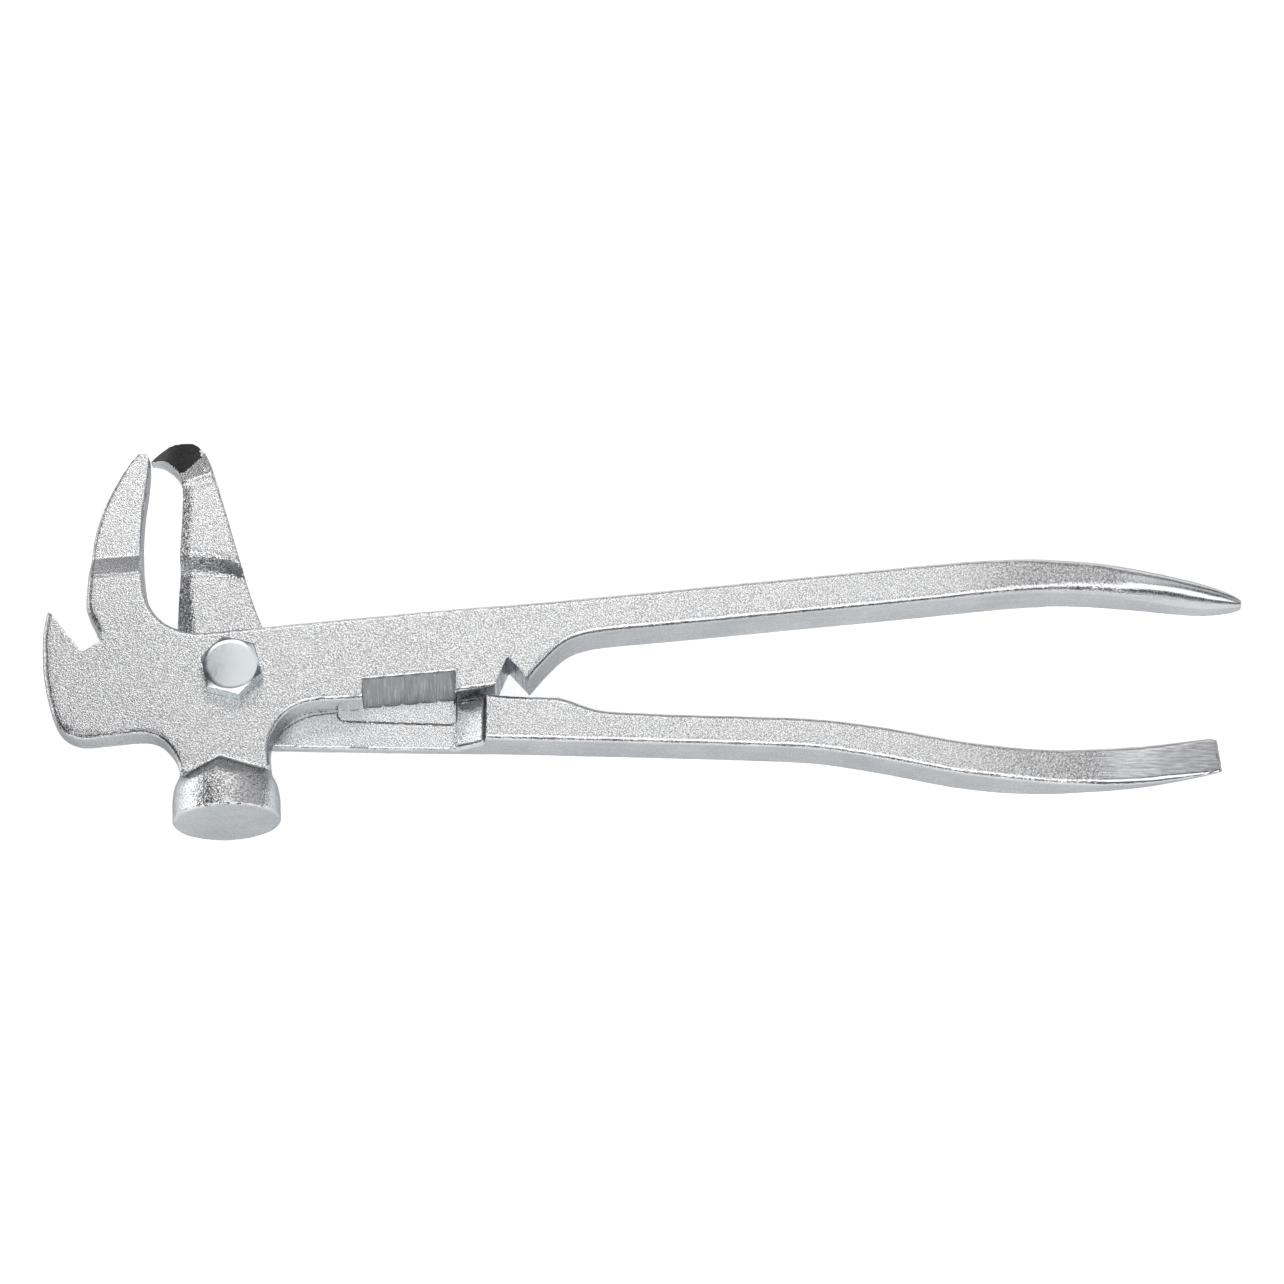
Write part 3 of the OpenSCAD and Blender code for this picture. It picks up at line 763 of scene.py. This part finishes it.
for ob, is_front in ((front, True), (rear, False)):
    P, NV = vertex_arrays(ob)
    # walls are found by their facing; they get a smooth finish and a darker base colour, the darker base being painted
    # shade
    wallness = 1 - step(np.abs(NV[:, 2]), 0.3, 0.7)
    if is_front:
        smooth_and_shaded = np.maximum(wallness, step(P[:, 0], 198, 212))
        u = (P[:, 0] + 2.5) * math.sin(LEAN) - P[:, 1] * math.cos(LEAN)
        smooth_and_shaded = np.maximum(smooth_and_shaded, step(u, 34.15, 34.35) * (np.abs(P[:, 0] + 2) < 16))
        brushed = np.zeros(len(P))
    else:
        smooth_and_shaded = wallness
        line = P[:, 0] + 0.9 * np.sin(P[:, 1] * 2.1) + 0.6 * np.sin(P[:, 1] * 5.3)
        brushed = step(line, 191, 199) * (NV[:, 2] > 0.5)
    x, y = P[:, 0], P[:, 1]
    # speckle mask: painted dark reflection on the hammer barrel's side and the left edges, painted shade towards the
    # handle ends and on the jaw bevel and ramp; real coarse pits as well
    if is_front:
        barrel_side = step(-y, 22, 24) * (1 - smooth_and_shaded) * (np.abs(x + 2) < 16)
        edge_left = step(-NV[:, 0], 0.12, 0.3) * (x < -24) * (NV[:, 2] > 0.35)
        pits_and_shade = np.maximum(0.5 * barrel_side, 0.75 * edge_left)
        lean = np.maximum(-NV[:, 0], -NV[:, 1])
        shade = 1.0 * step(lean, 0.14, 0.26) * (1 - step(lean, 0.6, 0.76)) * (NV[:, 2] > 0.3) * (x < -8.5) * (y > -21.5)
        shade = np.maximum(shade, 0.4 * step(x, 158, 186) * (1 - step(x, 198, 206)) * step(NV[:, 2], 0.8, 0.95))
        shade = np.maximum(shade, 0.32 * wallness * (x < -9) * (y < 8) * (y > -21.5) * (NV[:, 0] < 0.5))
        pits_and_shade = np.maximum(pits_and_shade, 0.35 * step(x, 150, 185) * (1 - step(x, 200, 206)))
    else:
        sloped = step(np.abs(NV[:, 2]), 0.35, 0.5) * (1 - step(np.abs(NV[:, 2]), 0.945, 0.975)) * (x < 12) * (y > 12) * (y < 47)
        shade = 0.28 * sloped * (NV[:, 0] < -0.2)
        ramp = (x > 49.6) * (x < 57.6) * (y < -3) * (NV[:, 2] > 0.1)
        pits_and_shade = np.maximum(0.85 * sloped, 0.15 * ramp)
        pits_and_shade = np.maximum(pits_and_shade, 0.35 * step(x, 145, 185) * (1 - brushed))
    set_mask(ob, "pits_and_shade", pits_and_shade * (1 - wallness))
    set_mask(ob, "brushed", brushed)
    set_mask(ob, "shade", shade)
    set_mask(ob, "smooth_and_shaded", smooth_and_shaded)
    # painted highlight on faces by their tilt across rounded edges, and painted light on the rear lever's lap and pad
    tilt = np.abs(NV[:, 2])
    painted_edge_light = step(tilt, 0.55, 0.75) * (1 - step(tilt, 0.85, 0.97))
    if not is_front:
        painted_edge_light = np.maximum(painted_edge_light, 0.55 * (tilt > 0.97) * (x > 10) * (x < 50) * (y < -4))
    set_mask(ob, "edge", painted_edge_light)

for piece, mat in ((bolt, M_ZINC), (washer, M_ZINC_NUT), (nut, M_ZINC_NUT), (ring, M_NYLON)):
    piece.data.materials.append(mat)
# the flats of the bolt's head are a little rougher than its top and get a darker base colour, which is painted shade
bolt.data.materials.append(M_ZINC_SHADED_SIDE)
C, N = centres(bolt)
slot = np.zeros(len(C), dtype=np.int32)
slot[(np.abs(N[:, 2]) < 0.3) & (np.hypot(C[:, 0], C[:, 1]) > 5)] = 1
bolt.data.polygons.foreach_set("material_index", slot)

for piece, body, node, slot_name in (
        (front, "front_half", "front_lever", "plated_forging"), (rear, "rear_half", "rear_lever", "plated_forging"),
        (bolt, "front_half", "pivot_bolt", "bolt_zinc"), (washer, "front_half", "back_washer", "nut_zinc"),
        (nut, "front_half", "lock_nut", "nut_zinc"), (ring, "front_half", "lock_nut_ring", "nylon_insert")):
    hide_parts(node)
    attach(piece, body)

# ---------------------------------------------------------------- camera
cam = bpy.data.cameras.new("camera")
cam_ob = bpy.data.objects.new("camera", cam)
bpy.context.scene.collection.objects.link(cam_ob)
TILT = math.radians(22.5)
cam_ob.location = (-0.0005, -0.0034 - 0.9 * math.sin(TILT), 0.01255 + 0.9 * math.cos(TILT))
cam_ob.rotation_euler = (TILT, 0, 0)
cam.sensor_width = 36.0
cam.lens = 3960 / 1284 * 36.0
cam.clip_start, cam.clip_end = 0.01, 20
bpy.context.scene.camera = cam_ob

# ---------------------------------------------------------------- floor, lights and surroundings
me = bpy.data.meshes.new("floor")
me.from_pydata([(-3, -3, 0), (3, -3, 0), (3, 3, 0), (-3, 3, 0)], [], [(0, 1, 2, 3)])
floor = bpy.data.objects.new("floor", me)
bpy.context.scene.collection.objects.link(floor)
m, t, p = material("pale_floor")
f = noise(t, coords(t), 30, 3.0, 0.5)
t.links.new(mix(t, remap(t, f, 0.3, 0.7, 0.0, 1.0), (0.93, 0.93, 0.93), (0.95, 0.95, 0.95)), p.inputs["Base Color"])
p.inputs["Roughness"].default_value = 0.9
p.inputs["Specular IOR Level"].default_value = 0.0
p.inputs["Emission Color"].default_value = (1, 1, 1, 1)
p.inputs["Emission Strength"].default_value = 0.5
floor.data.materials.append(m)


def softbox(name, direction, distance, wide, high, radiance, colour=(1, 1, 1)):
    lamp = bpy.data.lights.new(name, "AREA")
    lamp.shape = "RECTANGLE"
    lamp.size, lamp.size_y = wide, high
    lamp.energy = radiance * math.pi * wide * high
    lamp.color = colour
    ob = bpy.data.objects.new(name, lamp)
    bpy.context.scene.collection.objects.link(ob)
    d = np.array(direction, float)
    d /= np.linalg.norm(d)
    ob.location = tuple(d * distance)
    ob.rotation_mode = "QUATERNION"
    ob.rotation_quaternion = Vector(tuple(-d)).to_track_quat("-Z", "Y")
    return ob


softbox("overhead", (0.07, 0.30, 0.95), 1.5, 0.92, 0.8, 0.95)
softbox("overhead_back", (-0.20, 0.65, 0.735), 1.5, 0.75, 0.5, 2.1)
softbox("overhead_back_right", (0.34, 0.60, 0.72), 1.5, 0.8, 0.55, 0.8)
softbox("back", (0.0, 0.95, 0.31), 1.6, 1.8, 0.5, 0.42)
softbox("front", (0.0, -0.53, 0.848), 1.8, 2.8, 1.75, 1.6)
softbox("left", (-0.89, 0.38, 0.27), 1.5, 1.0, 0.72, 1.9)
softbox("right", (0.85, 0.25, 0.50), 1.6, 1.2, 1.2, 0.5)

w = bpy.data.worlds.new("studio")
bpy.context.scene.world = w
w.use_nodes = True
t = w.node_tree
t.nodes.clear()
out = t.nodes.new("ShaderNodeOutputWorld")
bg = t.nodes.new("ShaderNodeBackground")
path = t.nodes.new("ShaderNodeLightPath")
t.links.new(mix(t, path.outputs["Is Camera Ray"], (0.07, 0.07, 0.075), (0.86, 0.86, 0.86)), bg.inputs["Color"])
t.links.new(bg.outputs[0], out.inputs["Surface"])
bpy.context.scene.view_settings.view_transform = "Standard"
